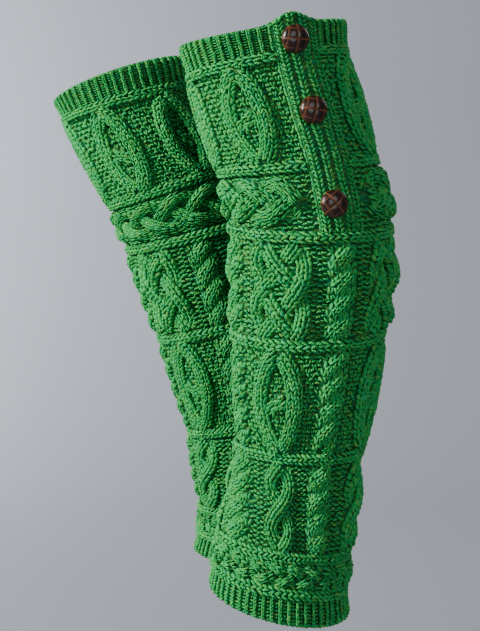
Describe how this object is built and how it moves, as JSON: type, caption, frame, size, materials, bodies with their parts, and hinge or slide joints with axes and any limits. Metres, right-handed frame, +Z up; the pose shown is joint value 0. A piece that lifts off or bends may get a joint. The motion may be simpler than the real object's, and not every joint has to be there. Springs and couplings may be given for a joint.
{
  "type": "pair of leg warmers",
  "caption": "Cable-knit leg warmers in worn, hollow form, with ribbed cuffs and hems, tiers of cables between braid ridges, and a buttoned placket at the outer top.",
  "frame": {"origin": "middle of the left cuff's top opening, where the wearer's left leg holds it", "axes": "+Z up along the wearer's height, -X the way the wearer faces, -Y the outer side of the left leg, towards the viewer; the right leg warmer stands at +Y and leans forward at its top"},
  "size_m": [0.2653, 0.2979, 0.4307],
  "materials": {
    "green_wool": "heathered worsted wool, matt, hand-knit",
    "brown_leather": "polished dark-brown leather with worn tan edges"
  },
  "bodies": {
    "root": {"left_cuff": "green_wool", "left_cable_panel": "green_wool", "left_hem": "green_wool", "left_placket": "green_wool", "left_button_1": "brown_leather", "left_button_2": "brown_leather", "left_button_3": "brown_leather", "right_cuff": "green_wool", "right_cable_panel": "green_wool", "right_hem": "green_wool", "right_placket": "green_wool", "right_button_1": "brown_leather", "right_button_2": "brown_leather", "right_button_3": "brown_leather"}
  },
  "joints": []
}
